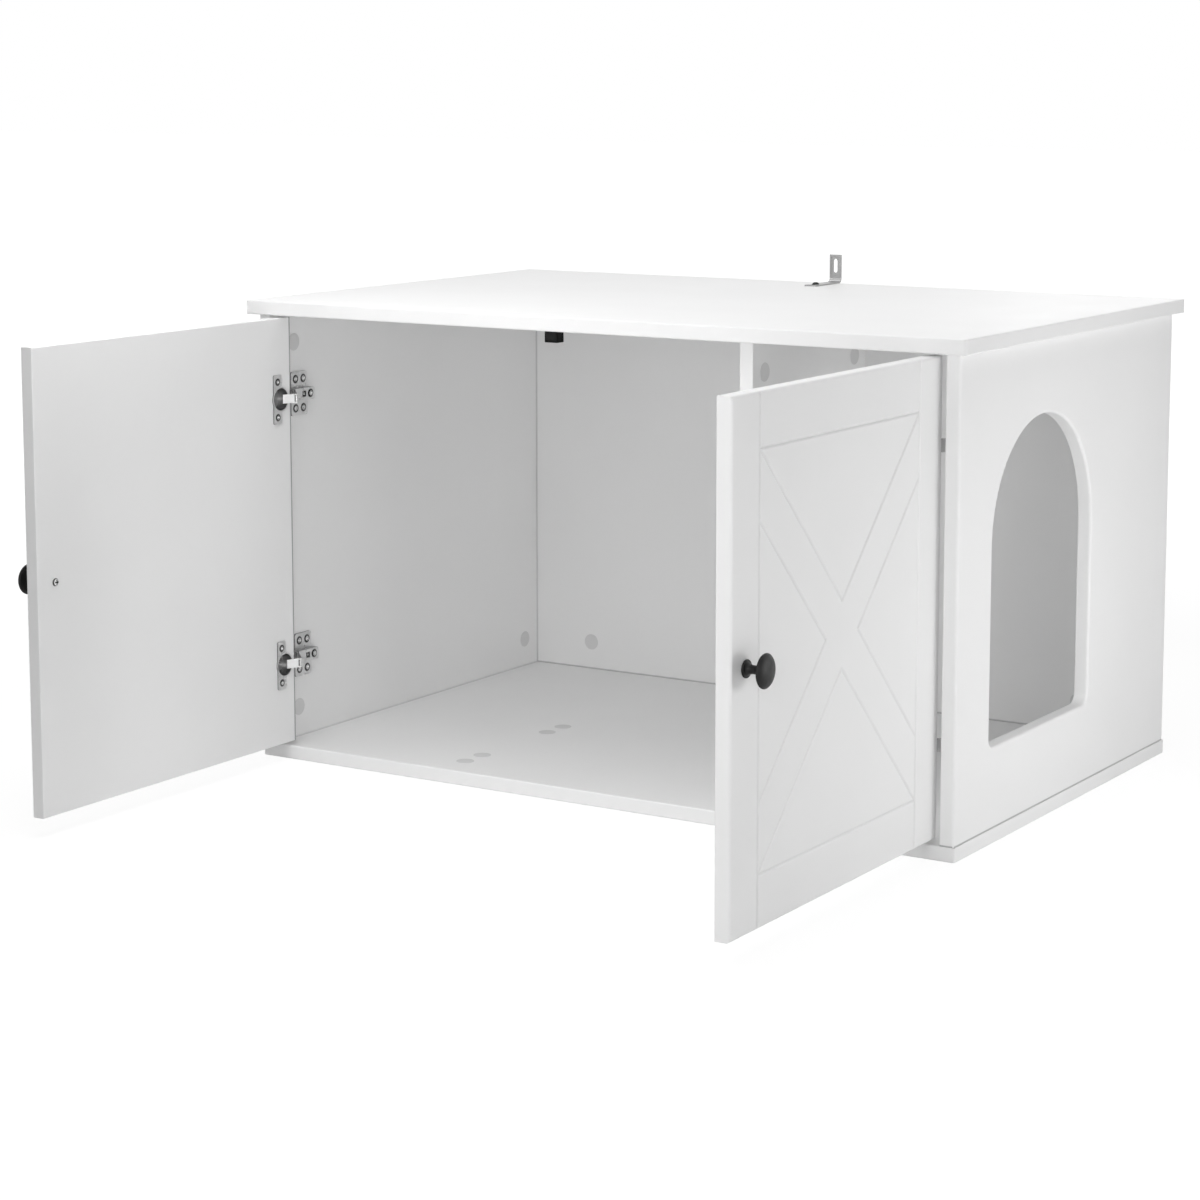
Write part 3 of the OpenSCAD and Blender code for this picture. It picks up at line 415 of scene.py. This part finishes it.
sky = bpy.data.worlds.new("studio")
sky.use_nodes = True
scene.world = sky
tree = sky.node_tree
tree.nodes.clear()
mixed_shaders(
    tree, seen_directly(tree),
    new_node(tree, "Background", in_Color=(1, 1, 1, 1), in_Strength=SKY_LIGHT),
    new_node(tree, "Background", in_Color=(1, 1, 1, 1), in_Strength=1.0),
    new_node(tree, "OutputWorld"),
)

floor_mesh = bpy.data.meshes.new("floor")
reach = FLOOR_SIZE / 2
floor_mesh.from_pydata(
    [(-reach, -reach, 0), (reach, -reach, 0), (reach, reach, 0), (-reach, reach, 0)],
    [], [(0, 1, 2, 3)]
)
floor = bpy.data.objects.new("floor", floor_mesh)
scene.collection.objects.link(floor)
floor_material = bpy.data.materials.new("white_floor")
floor_material.use_nodes = True
floor_mesh.materials.append(floor_material)
tree = floor_material.node_tree
tree.nodes.clear()
shown = new_node(tree, "AddShader")
glow = new_node(tree, "Emission", in_Color=(1, 1, 1, 1))
distance = new_node(tree, "VectorMath", operation="LENGTH")
tree.links.new(new_node(tree, "TexCoord").outputs["Object"], distance.inputs[0])
tree.links.new(
    ranged(tree, distance.outputs["Value"], *FLOOR_GLOW, start=FADE_START, end=FADE_END),
    glow.inputs["Strength"],
)
shade = new_node(tree, "BsdfDiffuse", in_Color=(FLOOR_SHADE, FLOOR_SHADE, FLOOR_SHADE, 1))
tree.links.new(glow.outputs[0], shown.inputs[0])
tree.links.new(shade.outputs[0], shown.inputs[1])
mixed_shaders(
    tree, seen_directly(tree),
    new_node(tree, "BsdfDiffuse", in_Color=(0.8, 0.8, 0.8, 1)),
    shown,
    new_node(tree, "OutputMaterial"),
)

# Each lamp: name, place, aim, width, height, watts
LAMPS = [
    ("top", (0.0, -0.2, 2.6), (0.0, -0.1, 0.3), 2.4, 2.4, 24.5),
    ("top_back", (0.0, 0.3, 1.9), (0.0, 0.1, 0.5), 1.6, 1.0, 5.2),
    ("front", (0.2, -3.4, 1.2), (0.0, -0.2, 0.3), 2.0, 1.6, 11.2),
    ("front_right", (1.3, -1.5, 0.5), (0.2, -0.4, 0.25), 0.6, 0.6, 1.5),
    ("right_door_edge", (0.6, -1.4, 0.5), (0.35, -0.6, 0.3), 0.4, 0.4, 2.8),
    ("right_front", (1.1, -0.15, 0.25), (0.3, -0.05, 0.25), 0.4, 0.3, 2.1),
    ("right_back", (1.5, 0.5, 0.6), (0.4, 0.1, 0.25), 0.8, 0.8, 2.2),
    ("between_doors", (0.0, -0.6, 0.25), (0.0, 0.2, 0.25), 0.36, 0.4, 0.34),
    ("above_doors", (-0.3, -0.62, 0.8), (-0.05, 0.0, 0.0), 0.15, 0.3, 0.8),
    ("front_top", (0.0, -0.8, 0.95), (0.0, -0.1, 0.1), 0.6, 0.4, 1.4),
    ("left", (-3.0, 0.0, 1.2), (-0.3, 0.0, 0.3), 2.0, 2.0, 30),
    ("back", (0.0, 3.2, 1.2), (0.0, 0.2, 0.3), 2.4, 2.0, 13),
]
for name, place, aim, width, height, watts in LAMPS:
    data = bpy.data.lights.new(name, "AREA")
    data.shape = "RECTANGLE"
    data.size, data.size_y = width, height
    data.energy = watts
    lamp = bpy.data.objects.new(name, data)
    scene.collection.objects.link(lamp)
    lamp.location = place
    lamp.visible_camera = False
    lamp.rotation_euler = (Vector(aim) - Vector(place)).to_track_quat("-Z", "Y").to_euler()
